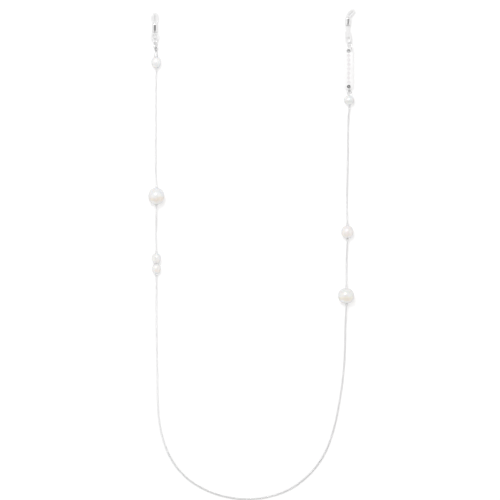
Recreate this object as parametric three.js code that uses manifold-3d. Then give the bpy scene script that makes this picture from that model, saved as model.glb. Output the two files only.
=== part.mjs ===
// Eyeglasses chain strap, laid flat in a U that opens towards +Y, with its left
// arm at -X. Millimetres, +Z up, z = 0 is the plane the strap rests on.
// The chain carries pearls, crimps and, on the right, a tag plate. Each end has
// a silicone temple holder with a sliding sleeve.
import * as THREE from 'three';
import * as BufferGeometryUtils from 'three/addons/utils/BufferGeometryUtils.js';
import Module from 'manifold-3d';

const wasm = await Module();
wasm.setup();

// ----------------------------------------------------------------- materials
const metal = (color, roughness) =>
  new THREE.MeshStandardMaterial({ color, metalness: 1, roughness });
const nonMetal = (color, roughness) =>
  new THREE.MeshStandardMaterial({ color, metalness: 0, roughness });

const silver = () => metal(0xdcdcde, 0.16);
const chainSilver = () => metal(0xd8d8da, 0.25);
const tagSilver = () => metal(0xe4e3e3, 0.22);
const silicone = () => nonMetal(0xf3f3f4, 0.45);
const nacre = (color = 0xf0ece7) => nonMetal(color, 0.18);

// ------------------------------------------------------------------- helpers
const part = new THREE.Group();

function put(name, geometry, material, position) {
  const mesh = new THREE.Mesh(geometry, material);
  mesh.name = name;
  if (position) mesh.position.set(...position);
  part.add(mesh);
}

// Turns a three.js geometry into a Manifold, with its seams welded.
function solid(geometry) {
  geometry.deleteAttribute('normal');
  geometry.deleteAttribute('uv');
  const welded = BufferGeometryUtils.mergeVertices(geometry, 1e-4);
  return new wasm.Manifold(new wasm.Mesh({
    numProp: 3,
    vertProperties: new Float32Array(welded.attributes.position.array),
    triVerts: new Uint32Array(welded.index.array),
  }));
}

function geometryOf(manifold) {
  const mesh = manifold.getMesh();
  const geometry = new THREE.BufferGeometry();
  const positions = new Float32Array(mesh.vertProperties);
  geometry.setAttribute('position', new THREE.BufferAttribute(positions, 3));
  geometry.setIndex(new THREE.BufferAttribute(new Uint32Array(mesh.triVerts), 1));
  geometry.computeVertexNormals();
  return geometry;
}

// Turns [radius, y] points about the Y axis.
function lathe(points, segments) {
  return new THREE.LatheGeometry(points.map(([x, y]) => new THREE.Vector2(x, y)), segments);
}

// Fills a shape or a path with straight lines through [x, y] points.
function trace(path, points) {
  path.setFromPoints(points.map(([x, y]) => new THREE.Vector2(x, y)));
  path.closePath();
  return path;
}

// -------------------------------------------------------- pearl and chain data
// Pearls: centre in plan, radius, half lengths above (+Y) and below (-Y) the
// centre, the exponent of the outline, and how much narrower the upper end is.
const PEARLS = {
  pearl_left_1: { x: -65.55, y: 132.75, radius: 3.2, up: 3.75, down: 3.75, power: 2.1 },
  pearl_left_2: { x: -65.35, y: 40.5, radius: 5.4, up: 5.75, down: 5.75, power: 2.15 },
  pearl_left_3: { x: -65.38, y: -2.45, radius: 2.98, up: 3.5, down: 3.45, power: 2.25 },
  pearl_left_4: { x: -65.38, y: -9.55, radius: 2.88, up: 3.35, down: 3.3, power: 2.25 },
  pearl_right_1: { x: 67.72, y: 106.8, radius: 3.4, up: 3.15, down: 3.2, power: 2.1 },
  pearl_right_2: {
    x: 66.27, y: 15.9, radius: 4.05, up: 4.5, down: 4.4, power: 2.2, taper: 0.1, color: 0xf0e6e2,
  },
  pearl_right_3: {
    x: 65.58, y: -28.1, radius: 5.4, up: 5.25, down: 5.25, power: 2.15, color: 0xefe9dd,
  },
};

// Stations, where the chain leaves the floor and runs level through its pearls.
// Columns: the pearl that rests on the floor and so sets the height, Y of the
// top and bottom of the level run, length of the rise at each end.
const STATIONS = [
  ['pearl_left_1', 133.4, 125.2, 13],
  ['pearl_left_2', 49.0, 32.0, 17],
  ['pearl_left_3', 3.4, -16.4, 11],
  ['pearl_right_1', 110.4, 101.2, 12],
  ['pearl_right_2', 22.9, 9.0, 13.5],
  ['pearl_right_3', -20.6, -35.6, 14],
].map(([name, top, bottom, rise]) =>
  ({ x: PEARLS[name].x, z: PEARLS[name].radius, top, bottom, rise }));

// Plan [x, y] of the chain's centre line, from the left end to the right end.
const PLAN = [
  [-65.55, 130.0], [-65.76, 120.44], [-65.79, 106.64], [-65.79, 92.84], [-65.86, 84.56],
  [-65.96, 72.14], [-65.9, 58.34], [-65.38, 30.74], [-65.52, 22.46], [-65.72, 14.6],
  [-65.42, -17.56], [-65.38, -31.36], [-65.31, -45.16], [-65.24, -58.96], [-65.03, -69.31],
  [-64.78, -81.04], [-64.66, -93.46], [-64.4, -103.12], [-63.8, -112.09], [-62.8, -118.99],
  [-61.0, -126.34], [-57.17, -136.93], [-53.03, -144.11], [-48.89, -149.46], [-44.75, -153.6],
  [-40.61, -156.87], [-36.47, -159.5], [-32.33, -161.72], [-28.19, -163.56], [-24.05, -165.08],
  [-19.91, -166.28], [-15.77, -167.22], [-11.63, -167.92], [-7.49, -168.36], [-3.35, -168.54],
  [0.79, -168.46], [4.93, -168.12], [9.07, -167.5], [13.21, -166.6], [17.35, -165.43],
  [21.49, -163.98], [25.63, -162.12], [29.77, -159.78], [33.91, -156.87], [38.05, -153.38],
  [42.19, -149.25], [46.33, -144.11], [50.47, -137.42], [54.61, -127.76], [58.5, -114.0],
  [60.75, -102.43], [62.38, -92.08], [63.46, -83.11], [64.2, -75.02], [64.65, -66.55],
  [64.86, -57.58], [65.0, -48.61], [65.2, -41.02], [65.79, -9.28], [65.95, -1.0],
  [66.06, 25.22], [66.04, 32.12], [66.14, 40.4], [66.34, 48.68], [66.6, 58.34],
  [66.76, 68.69], [66.85, 80.42], [66.98, 90.08], [67.2, 96.9], [67.72, 109.6],
];

// Bend points, where one chain length meets the next: arm of the U, and Y.
const BENDS = [
  ['left', 88], ['left', 14.6], ['left', -45], ['left', -100], ['left', -150],
  ['right', -150], ['right', -100], ['right', -65], ['right', -5.5], ['right', 62],
];
const CHAIN_NAMES = [
  'chain_left_1', 'chain_left_2', 'chain_left_3', 'chain_left_4', 'chain_bottom_left',
  'chain_bottom',
  'chain_bottom_right', 'chain_right_4', 'chain_right_3', 'chain_right_2', 'chain_right_1',
];

// ----------------------------------------------------------- the chain's run
const FLOOR_Z = 0.63;           // height of the chain's centre where it lies flat
const STATION_MARGIN = 0.5;     // plan points this close to a station belong to it
const ARM_BOTTOM_Y = -100;      // the curve of the U lies below this
const FINE_STEP = 2.5;          // longest plan step on stations and rises
const RISE_THRESHOLD = 0.05;    // change in height that calls for fine steps

const sameArm = (x, station) => (x < 0) === (station.x < 0);

// Goes from 0 to 1 with no slope or curvature at either end.
function smooth(value) {
  const t = Math.min(1, Math.max(0, value));
  return t * t * t * (t * (6 * t - 15) + 10);
}

function heightAt(x, y) {
  let z = FLOOR_Z;
  for (const station of STATIONS) {
    if (!sameArm(x, station)) continue;
    const away = Math.max(y - station.top, station.bottom - y, 0);
    const lift = (station.z - FLOOR_Z) * (1 - smooth(away / station.rise));
    z = Math.max(z, FLOOR_Z + lift);
  }
  return z;
}

function stationAt(x, y) {
  return STATIONS.find((station) => sameArm(x, station)
    && y < station.top + STATION_MARGIN && y > station.bottom - STATION_MARGIN);
}

function between([x0, y0], [x1, y1], fraction) {
  return [x0 + (x1 - x0) * fraction, y0 + (y1 - y0) * fraction];
}

// Adds points wherever the chain is off the floor, so its height is followed.
function refine(points) {
  const refined = [];
  points.forEach((from, i) => {
    refined.push(from);
    if (i === points.length - 1) return;
    const to = points[i + 1];
    const rising = Math.abs(heightAt(...from) - heightAt(...to)) > RISE_THRESHOLD
      || heightAt(...between(from, to, 0.5)) > FLOOR_Z + RISE_THRESHOLD;
    const distance = Math.hypot(from[0] - to[0], from[1] - to[1]);
    const steps = rising ? Math.ceil(distance / FINE_STEP) : 1;
    for (let k = 1; k < steps; k++) refined.push(between(from, to, k / steps));
  });
  return refined;
}

// The plan with a straight stretch put in at each station.
function fullPlan() {
  const points = PLAN.filter(([x, y]) => !stationAt(x, y));
  for (const { x, top, bottom } of STATIONS) {
    const steps = Math.ceil((top - bottom) / FINE_STEP);
    for (let i = 0; i <= steps; i++) points.push([x, top + (bottom - top) * i / steps]);
  }
  const curve = points.filter(([, y]) => y < ARM_BOTTOM_Y);
  const arms = points.filter(([, y]) => y >= ARM_BOTTOM_Y);
  const leftArm = arms.filter(([x]) => x < 0).sort((a, b) => b[1] - a[1]);
  const rightArm = arms.filter(([x]) => x >= 0).sort((a, b) => a[1] - b[1]);
  return [...refine(leftArm), ...curve, ...refine(rightArm)];
}

const run = new THREE.CatmullRomCurve3(
  fullPlan().map(([x, y]) => new THREE.Vector3(x, y, heightAt(x, y))), false, 'centripetal');
run.arcLengthDivisions = 6000;
run.updateArcLengths();
const runLength = run.getLength();

// Fraction of the run's length at which it crosses a given Y on one arm: a
// coarse scan, then a ternary search around the nearest sample.
function along(arm, y) {
  const samples = 8000, reach = 2e-4, rounds = 60;
  const miss = (fraction) => Math.abs(run.getPointAt(fraction).y - y);
  let nearest = 0;
  let leastMiss = Infinity;
  for (let i = 0; i <= samples; i++) {
    const fraction = i / samples;
    if ((arm === 'left') !== (fraction < 0.5)) continue;
    const sampleMiss = miss(fraction);
    if (sampleMiss < leastMiss) {
      leastMiss = sampleMiss;
      nearest = fraction;
    }
  }
  let low = Math.max(0, nearest - reach);
  let high = Math.min(1, nearest + reach);
  for (let i = 0; i < rounds; i++) {
    const third = (high - low) / 3;
    if (miss(low + third) < miss(high - third)) high -= third;
    else low += third;
  }
  return (low + high) / 2;
}

// ------------------------------------------------------------- chain lengths
const CHAIN_RADIUS = 0.6;
const CHAIN_SIDES = 8;
const CHAIN_STEP = 3.0;         // length of one swept segment
const MIN_CHAIN_STEPS = 8;
const JOINT_GAP = 0.9;          // space between the ends of two chain lengths
const RIGHT_CHAIN_END_Y = 107.6;

// Part of the run, between two fractions of its length.
class Stretch extends THREE.Curve {
  constructor(start, end) {
    super();
    this.start = start;
    this.end = end;
    this.arcLengthDivisions = 400;
  }

  getPoint(t, target = new THREE.Vector3()) {
    return target.copy(run.getPointAt(this.start + (this.end - this.start) * t));
  }
}

function chainSection() {
  const points = [];
  for (let i = 0; i < CHAIN_SIDES; i++) {
    const angle = (i + 0.5) / CHAIN_SIDES * Math.PI * 2;
    points.push([CHAIN_RADIUS * Math.cos(angle), CHAIN_RADIUS * Math.sin(angle)]);
  }
  return trace(new THREE.Shape(), points);
}

function chainLength(start, end) {
  const steps = Math.max(MIN_CHAIN_STEPS, Math.round((end - start) * runLength / CHAIN_STEP));
  return new THREE.ExtrudeGeometry(chainSection(), {
    steps, extrudePath: new Stretch(start, end), bevelEnabled: false,
  });
}

const bends = BENDS.map(([arm, y]) => along(arm, y));
export const bendPoints = bends.map((fraction) => run.getPointAt(fraction).toArray());

const chainEdges = [along('left', STATIONS[0].top), ...bends, along('right', RIGHT_CHAIN_END_Y)];
const halfGap = JOINT_GAP / 2 / runLength;
CHAIN_NAMES.forEach((name, i) => {
  const isFirst = i === 0;
  const isLast = i === CHAIN_NAMES.length - 1;
  const start = chainEdges[i] + (isFirst ? 0 : halfGap);
  const end = chainEdges[i + 1] - (isLast ? 0 : halfGap);
  put(name, chainLength(start, end), chainSilver());
});

// -------------------------------------------------------------------- pearls
const PEARL_BORE_RADIUS = 0.85;
const PEARL_BANDS = 11;
const TAPER_POWER = 1.2;

// A place on the level chain through a pearl, at a given Y.
const onChain = (pearl, y) => [pearl.x, y, stationAt(pearl.x, y).z];

function pearlGeometry({ radius, up, down, power, taper = 0 }) {
  // height at which the outline meets the bore
  const edge = (half) => half * Math.pow(1 - Math.pow(PEARL_BORE_RADIUS / radius, power), 1 / power);
  const top = edge(up);
  const bottom = -edge(down);
  const outline = [[PEARL_BORE_RADIUS, bottom]];
  for (let i = 1; i < PEARL_BANDS; i++) {
    // even steps in angle, closer together towards the drilled ends
    const t = -Math.cos(Math.PI * i / PEARL_BANDS);
    const y = t < 0 ? -t * bottom : t * top;
    const half = y < 0 ? down : up;
    const round = Math.pow(Math.max(0, 1 - Math.pow(Math.abs(y) / half, power)), 1 / power);
    const narrowing = 1 - taper * Math.max(0, y / half) ** TAPER_POWER;
    outline.push([radius * round * narrowing, y]);
  }
  outline.push([PEARL_BORE_RADIUS, top], [PEARL_BORE_RADIUS, bottom]);
  return lathe(outline, 18);
}

for (const [name, pearl] of Object.entries(PEARLS)) {
  put(name, pearlGeometry(pearl), nacre(pearl.color), onChain(pearl, pearl.y));
}

// ----------------------------------------------------------- crimps and cone
const CRIMP_BORE_RADIUS = 0.68;
const CRIMP_CHAMFER = 0.22;

// Columns: pearl, its end, distance from that end to the crimp's centre,
// length and radius of the crimp.
const CRIMPS = [
  ['left_2', 'upper', 0.75, 1.2, 0.95],
  ['left_2', 'lower', 0.85, 1.5, 1.0],
  ['left_3', 'upper', 0.85, 1.2, 0.95],
  ['left_4', 'lower', 1.35, 1.5, 1.0],
  ['right_3', 'upper', 0.75, 1.2, 0.95],
  ['right_3', 'lower', 0.9, 1.5, 1.0],
  ['right_2', 'upper', 0.75, 1.2, 0.95],
  ['right_2', 'lower', 0.9, 1.4, 0.98],
  ['right_1', 'lower', 0.9, 1.4, 0.98],
];

function crimpGeometry(length, radius) {
  const half = length / 2;
  return lathe([
    [CRIMP_BORE_RADIUS, -half], [radius - CRIMP_CHAMFER, -half],
    [radius, -half + CRIMP_CHAMFER], [radius, half - CRIMP_CHAMFER],
    [radius - CRIMP_CHAMFER, half], [CRIMP_BORE_RADIUS, half], [CRIMP_BORE_RADIUS, -half],
  ], 12);
}

for (const [place, end, offset, length, radius] of CRIMPS) {
  const pearl = PEARLS[`pearl_${place}`];
  const y = end === 'upper' ? pearl.y + pearl.up + offset : pearl.y - pearl.down - offset;
  put(`crimp_${place}_${end}`, crimpGeometry(length, radius), silver(), onChain(pearl, y));
}

// The cone under the first left pearl, tapering down to the chain: [radius, y].
const CONE_Y = 127.75;
const CONE_OUTLINE = [
  [CRIMP_BORE_RADIUS, -1.0], [0.88, -1.0], [0.92, -0.6], [1.28, 0.7], [1.3, 0.85],
  [1.12, 1.0], [CRIMP_BORE_RADIUS, 1.0], [CRIMP_BORE_RADIUS, -1.0],
];
put('left_end_cone', lathe(CONE_OUTLINE, 16), silver(), onChain(PEARLS.pearl_left_1, CONE_Y));

// ------------------------------------------------------- rings and end loops
const WIRE_RADIUS = 0.35;
const STEM_RADIUS = 0.42;
const STEM_OVERLAP = 0.1;       // how far a stem reaches into its loop's wire

// A ring in a plane that holds the Y axis. tilt is that plane's angle from the
// horizontal in degrees: 0 lies flat, 90 stands on edge, positive lifts +X.
function ringGeometry(radius, tilt, segments) {
  const torus = new THREE.TorusGeometry(radius, WIRE_RADIUS, 8, segments);
  torus.rotateY(THREE.MathUtils.degToRad(-tilt));
  return torus;
}

// Columns: name, centre, radius, tilt.
const RINGS = [
  ['left_holder_ring', [-66.1, 147.14, 2.64], 2.45, 67],
  ['left_link_ring', [-65.85, 143.96, 3.02], 1.7, -28],
  ['right_upper_ring', [67.92, 143.77, 2.74], 2.72, 62],
  ['right_lower_ring', [67.5, 114.2, 2.72], 2.15, 88],
];
for (const [name, centre, radius, tilt] of RINGS) {
  put(name, ringGeometry(radius, tilt, 22), silver(), centre);
}

// A small bell: widest where it meets the pearl, drawn in towards the loop.
// top and bottom are heights from the loop's centre.
function bellGeometry({ top, bottom, radius }) {
  return lathe([
    [0, bottom], [radius - 0.2, bottom], [radius, bottom + 0.2], [radius * 0.9, bottom + 0.8],
    [radius * 0.62, top - 1.2], [radius * 0.6, top - 0.3], [radius * 0.4, top], [0, top],
  ], 16);
}

// A ring with a stem that runs into the first pearl's bore.
function endLoop({ radius, tilt, stem, bell }) {
  const rod = new THREE.CylinderGeometry(STEM_RADIUS, STEM_RADIUS, stem, 12);
  rod.translate(0, -radius - stem / 2 + STEM_OVERLAP, 0);
  let body = solid(ringGeometry(radius, tilt, 20)).add(solid(rod));
  if (bell) body = body.add(solid(bellGeometry(bell)));
  return geometryOf(body);
}

const leftLoop = {
  radius: 1.3, tilt: 62, stem: 5.6, bell: { top: -1.5, bottom: -5.2, radius: 1.35 },
};
const rightLoop = { radius: 1.45, tilt: 0, stem: 2.1 };
const { x: rightLoopX, radius: rightLoopZ } = PEARLS.pearl_right_1;
put('left_end_loop', endLoop(leftLoop), silver(), [-65.62, 142.0, 3.15]);
put('right_end_loop', endLoop(rightLoop), silver(), [rightLoopX, 111.9, rightLoopZ]);

// ---------------------------------------------------------- silicone holders
const HOLDER_THICKNESS = 1.8;
const HOLDER_Z = 2.4;           // height of the silicone's middle plane
const HOLDER_BEVEL = 0.42;
const MIN_HALF_WIDTH = 0.25;

// Smooth outline through the profile, then back up its mirror image.
function holderOutline(profile) {
  const spline = new THREE.SplineCurve(profile.map(([y, width]) => new THREE.Vector2(width, y)));
  const rightSide = spline.getPoints((profile.length - 1) * 2).map(({ x, y }) => [x, y]);
  const leftSide = rightSide.slice(1, -1).reverse().map(([x, y]) => [-x, y]);
  return [...rightSide, ...leftSide];
}

// The slit takes the temple arm. Its upper end is the flat that the arm pulls
// against, and its lower end is round.
function slitOutline({ halfWidth, low, top }) {
  const middle = (top + low) / 2;
  const points = [[-halfWidth, top], [halfWidth, top], [halfWidth, middle]];
  for (let i = 0; i <= 6; i++) {
    const angle = i / 6 * Math.PI;
    points.push([halfWidth * Math.cos(angle), low + halfWidth - halfWidth * Math.sin(angle)]);
  }
  points.push([-halfWidth, middle]);
  return points;
}

// The eye takes the jump ring: a slot with two round ends.
function eyeOutline({ halfWidth, low, top }) {
  const middle = (top + low) / 2;
  const straight = (top - low) / 2 - halfWidth;
  const points = [];
  for (const [from, side] of [[0, 1], [Math.PI, -1]]) {
    for (let i = 0; i <= 7; i++) {
      const angle = from + i / 7 * Math.PI;
      const y = middle + side * straight + halfWidth * Math.sin(angle);
      points.push([halfWidth * Math.cos(angle), y]);
    }
  }
  return points;
}

// The bevel grows the outline and shrinks the holes, so the outline is drawn
// smaller and the holes larger by its size. bend moves each drawn point.
function holderGeometry({ profile, slit, eye, bend = (x, y) => [x, y] }) {
  const inset = profile.map(([y, width], i) => {
    if (i === 0) return [y + HOLDER_BEVEL, 0];
    if (i === profile.length - 1) return [y - HOLDER_BEVEL, 0];
    return [y, Math.max(MIN_HALF_WIDTH, width - HOLDER_BEVEL)];
  });
  const enlarged = ({ halfWidth, low, top }) => ({
    halfWidth: halfWidth + HOLDER_BEVEL, low: low - HOLDER_BEVEL, top: top + HOLDER_BEVEL,
  });
  const bent = (path, points) => trace(path, points.map(([x, y]) => bend(x, y)));
  const shape = bent(new THREE.Shape(), holderOutline(inset));
  shape.holes.push(
    bent(new THREE.Path(), slitOutline(enlarged(slit))),
    bent(new THREE.Path(), eyeOutline(enlarged(eye))),
  );
  const depth = HOLDER_THICKNESS - 2 * HOLDER_BEVEL;
  const geometry = new THREE.ExtrudeGeometry(shape, {
    depth, bevelEnabled: true, bevelThickness: HOLDER_BEVEL, bevelSize: HOLDER_BEVEL,
    bevelSegments: 2, curveSegments: 6, steps: 1,
  });
  geometry.translate(0, 0, -depth / 2);
  return geometry;
}

// Profiles are [height along the holder, half width]. The left holder's
// heights are from its sleeve's lower mouth.
const LEFT_HOLDER_AT = [-66.4, 153.6, HOLDER_Z];
const LEFT_HOLDER = {
  profile: [
    [-6.9, 0], [-6.65, 1.0], [-5.6, 2.1], [-4.2, 2.65], [-2.6, 2.75], [-1.3, 2.3],
    [-0.5, 1.6], [0.3, 1.32], [6.0, 1.34], [6.8, 1.42], [7.6, 1.95], [8.7, 2.45],
    [9.9, 2.62], [11.2, 2.5], [12.3, 2.05], [13.1, 1.25], [13.55, 0],
  ],
  slit: { halfWidth: 0.62, low: 7.9, top: 11.9 },
  eye: { halfWidth: 1.1, low: -4.85, top: -1.5 },
};

// The right sleeve sits further up, so more of the neck shows under it.
const RIGHT_HOLDER_AT = [66.6, 157.7, HOLDER_Z];
const RIGHT_HOLDER = {
  profile: [
    [-13.3, 0], [-13.05, 1.0], [-12.1, 1.8], [-10.2, 2.2], [-7.6, 2.25], [-5.4, 2.2],
    [-4.0, 1.85], [-3.0, 1.45], [0.0, 1.32], [5.8, 1.34], [6.5, 1.42], [7.6, 1.6],
    [8.9, 1.8], [10.4, 1.82], [11.7, 1.65], [12.6, 1.1], [13.05, 0],
  ],
  slit: { halfWidth: 0.5, low: 7.6, top: 11.5 },
  eye: { halfWidth: 1.15, low: -12.15, top: -7.6 },
  bend: bendRightHolder,
};

// Below its origin the right holder drifts towards +X, more the further down.
// Above, it leans to +X and its loop curls that way, then runs straight again
// where the arm bears.
function bendRightHolder(x, y) {
  const drift = 0.007, curlFrom = 6.0, curlTo = 9.5, curlRadius = 4.7;
  if (y <= 0) return [x + drift * y * y, y];
  let across = x;
  let up = y;
  if (y > curlFrom) {
    const angle = (Math.min(y, curlTo) - curlFrom) / curlRadius;
    const radius = curlRadius - x;
    const beyond = Math.max(0, y - curlTo);
    across = curlRadius - radius * Math.cos(angle) + beyond * Math.sin(angle);
    up = curlFrom + radius * Math.sin(angle) + beyond * Math.cos(angle);
  }
  const cos = Math.cos(RIGHT_LEAN);
  const sin = Math.sin(RIGHT_LEAN);
  return [across * cos + up * sin, up * cos - across * sin];
}
const RIGHT_LEAN = Math.atan2(0.48, 6.2);

put('left_silicone_holder', holderGeometry(LEFT_HOLDER), silicone(), LEFT_HOLDER_AT);
put('right_silicone_holder', holderGeometry(RIGHT_HOLDER), silicone(), RIGHT_HOLDER_AT);

// ------------------------------------------------------------- cinch sleeves
const SLEEVE_RADIUS = 2.0;
const SLEEVE_BORE_RADIUS = 1.76;
const SLEEVE_LENGTH = 5.6;
const SLEEVE_CHAMFER = 0.12;
const RIGHT_SLEEVE_UP = 3.1;    // sleeve's centre above the right holder's origin

function sleeveGeometry(turn) {
  const end = SLEEVE_LENGTH / 2;
  const wallEnd = end - SLEEVE_CHAMFER;
  const inner = SLEEVE_BORE_RADIUS + SLEEVE_CHAMFER;
  const outer = SLEEVE_RADIUS - SLEEVE_CHAMFER;
  const geometry = lathe([
    [SLEEVE_BORE_RADIUS, -wallEnd], [inner, -end], [outer, -end], [SLEEVE_RADIUS, -wallEnd],
    [SLEEVE_RADIUS, wallEnd], [outer, end], [inner, end], [SLEEVE_BORE_RADIUS, wallEnd],
    [SLEEVE_BORE_RADIUS, -wallEnd],
  ], 24);
  geometry.rotateZ(turn);
  return geometry;
}

{
  const [leftX, leftY] = LEFT_HOLDER_AT;
  const [rightX, rightY] = RIGHT_HOLDER_AT;
  put('left_cinch_sleeve', sleeveGeometry(0), silver(),
    [leftX, leftY + SLEEVE_LENGTH / 2, HOLDER_Z]);
  put('right_cinch_sleeve', sleeveGeometry(-RIGHT_LEAN), silver(),
    [rightX + Math.sin(RIGHT_LEAN) * RIGHT_SLEEVE_UP, rightY + RIGHT_SLEEVE_UP, HOLDER_Z]);
}

// ----------------------------------------------------------------- tag plate
const TAG_AT = [67.3, 128.45, 1.6];   // centre in plan, height of the underside
const TAG_WIDTH = 6.5;
const TAG_LENGTH = 28.4;
const TAG_THICKNESS = 0.8;
const TAG_CORNER_RADIUS = 2.2;        // before the bevel is added
const TAG_BEVEL = 0.12;
const TAG_HOLE_RADIUS = 1.15;
const TAG_HOLE_INSET = 1.9;           // from the plate's end to the hole's centre

function tagGeometry() {
  const cornerX = TAG_WIDTH / 2 - TAG_BEVEL - TAG_CORNER_RADIUS;
  const edgeY = TAG_LENGTH / 2 - TAG_BEVEL;
  const cornerY = edgeY - TAG_CORNER_RADIUS;
  const shape = new THREE.Shape();
  shape.moveTo(-cornerX, -edgeY);
  shape.lineTo(cornerX, -edgeY);
  // each arc is joined to the last by a straight edge
  [[1, -1], [1, 1], [-1, 1], [-1, -1]].forEach(([sideX, sideY], i) => {
    const start = (i - 1) * Math.PI / 2;
    shape.absarc(sideX * cornerX, sideY * cornerY, TAG_CORNER_RADIUS,
      start, start + Math.PI / 2, false);
  });
  for (const side of [-1, 1]) {
    const hole = new THREE.Path();
    const y = side * (TAG_LENGTH / 2 - TAG_HOLE_INSET);
    hole.absarc(0, y, TAG_HOLE_RADIUS + TAG_BEVEL, 0, Math.PI * 2, true);
    shape.holes.push(hole);
  }
  const geometry = new THREE.ExtrudeGeometry(shape, {
    depth: TAG_THICKNESS - 2 * TAG_BEVEL, bevelEnabled: true, bevelThickness: TAG_BEVEL,
    bevelSize: TAG_BEVEL, bevelSegments: 1, curveSegments: 8,
  });
  geometry.translate(0, 0, TAG_BEVEL);
  return geometry;
}
put('tag_plate', tagGeometry(), tagSilver(), TAG_AT);

export default part;
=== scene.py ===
"""Looks of the eyeglasses chain strap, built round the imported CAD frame.

Every piece is made in millimetres in the frame's own axes and scaled to metres
when its mesh is written. The strap lies on a white sheet under a white dome.
"""

import math

import bpy
import bmesh
import numpy as np
from mathutils import Matrix, Vector

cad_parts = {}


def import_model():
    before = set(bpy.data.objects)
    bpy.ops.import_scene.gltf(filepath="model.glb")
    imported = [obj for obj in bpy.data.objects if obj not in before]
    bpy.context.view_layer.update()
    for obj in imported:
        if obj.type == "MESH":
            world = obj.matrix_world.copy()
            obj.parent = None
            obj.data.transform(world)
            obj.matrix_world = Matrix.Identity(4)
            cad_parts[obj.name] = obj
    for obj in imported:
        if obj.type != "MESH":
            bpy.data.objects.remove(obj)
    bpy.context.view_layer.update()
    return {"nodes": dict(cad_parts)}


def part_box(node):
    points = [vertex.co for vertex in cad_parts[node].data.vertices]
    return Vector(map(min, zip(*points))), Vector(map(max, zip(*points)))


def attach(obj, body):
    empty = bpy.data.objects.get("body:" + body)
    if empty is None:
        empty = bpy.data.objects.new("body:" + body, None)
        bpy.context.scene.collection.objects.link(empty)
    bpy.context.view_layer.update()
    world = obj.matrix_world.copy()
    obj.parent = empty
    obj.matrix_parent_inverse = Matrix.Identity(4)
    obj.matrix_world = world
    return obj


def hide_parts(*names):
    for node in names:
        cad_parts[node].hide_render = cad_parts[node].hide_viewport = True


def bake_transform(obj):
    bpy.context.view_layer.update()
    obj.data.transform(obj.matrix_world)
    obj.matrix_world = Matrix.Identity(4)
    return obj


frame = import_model()
NODES = frame["nodes"]
MM = 0.001
PI = math.pi


def box(node):
    """Low and high corner of a CAD node in millimetres."""
    lo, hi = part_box(node)
    return np.array(lo) / MM, np.array(hi) / MM


def centre(node):
    lo, hi = box(node)
    return (lo + hi) / 2


# ------------------------------------------------------------------ node tools
class Tree:
    """Short hand for building shader trees."""

    def __init__(self, tree):
        self.t = tree

    def new(self, kind, ins=None, **props):
        n = self.t.nodes.new(kind)
        for k, v in props.items():
            setattr(n, k, v)
        for k, v in (ins or {}).items():
            self.put(n.inputs[k], v)
        return n

    def put(self, socket, v):
        if isinstance(v, bpy.types.NodeSocket):
            self.t.links.new(v, socket)
        else:
            socket.default_value = v

    def math(self, op, a, b=0.0, c=0.0, clamp=False):
        return self.new("ShaderNodeMath", {0: a, 1: b, 2: c}, operation=op, use_clamp=clamp).outputs[0]

    def mix(self, fac, a, b, blend="MIX"):
        n = self.new("ShaderNodeMix", data_type="RGBA", blend_type=blend, clamp_factor=True)
        self.put(n.inputs[0], fac)
        self.put(n.inputs[6], a)
        self.put(n.inputs[7], b)
        return n.outputs[2]

    def remap(self, v, a, b, c, d, kind="SMOOTHSTEP"):
        n = self.new("ShaderNodeMapRange", {"Value": v, "From Min": a, "From Max": b, "To Min": c, "To Max": d})
        n.interpolation_type = kind
        return n.outputs["Result"]

    def mm(self, scale=(1, 1, 1)):
        """Object coordinates in millimetres, stretched by scale."""
        tc = self.new("ShaderNodeTexCoord")
        m = self.new("ShaderNodeMapping", {"Vector": tc.outputs["Object"], "Scale": [1000 * s for s in scale]})
        return m.outputs["Vector"]

    def noise(self, coords, scale, detail=4.0, rough=0.5, distort=0.0):
        n = self.new("ShaderNodeTexNoise", {"Vector": coords, "Scale": scale, "Detail": detail,
                                            "Roughness": rough, "Distortion": distort})
        return n.outputs["Fac"]


def rgb(r, g, b):
    return (r, g, b, 1.0)


def principled(name):
    m = bpy.data.materials.new(name)
    m.use_nodes = True
    t = Tree(m.node_tree)
    return m, t, m.node_tree.nodes["Principled BSDF"]


def bump(t, height, strength, distance_mm, base=None):
    ins = {"Height": height, "Strength": strength, "Distance": distance_mm * MM}
    n = t.new("ShaderNodeBump", ins)
    if base is not None:
        t.put(n.inputs["Normal"], base)
    return n.outputs["Normal"]


# ------------------------------------------------------------------- materials
def chain_material():
    """Plated snake chain: bright crowns, with painted shade between the links and painted shade dimming the right side
    and the bottom of the loop.
    """
    m, t, b = principled("chain_silver")
    mm = t.mm()
    groove = t.new("ShaderNodeAttribute", attribute_name="groove").outputs["Fac"]
    tone = t.noise(mm, 0.9, 3)
    fine = t.noise(mm, 14, 4)
    crown = t.mix(t.remap(tone, 0.3, 0.7, 0, 1), rgb(0.945, 0.945, 0.947), rgb(0.975, 0.975, 0.977))
    # painted shade: the base colour darkens deep in the grooves between the links
    metal = t.mix(t.math("MULTIPLY", groove, 0.8), crown, rgb(0.68, 0.685, 0.69))
    wear = t.new("ShaderNodeAttribute", attribute_name="wear").outputs["Fac"]
    # painted shade dims the right side and the bottom of the loop
    t.put(b.inputs["Base Color"], t.mix(wear, metal, rgb(0.3, 0.3, 0.305)))
    t.put(b.inputs["Metallic"], 1.0)
    t.put(b.inputs["Roughness"], t.math("ADD", t.remap(fine, 0.3, 0.7, 0.26, 0.38), t.math("MULTIPLY", groove, 0.2)))
    t.put(b.inputs["Normal"], bump(t, fine, 0.15, 0.02))
    return m


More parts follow.
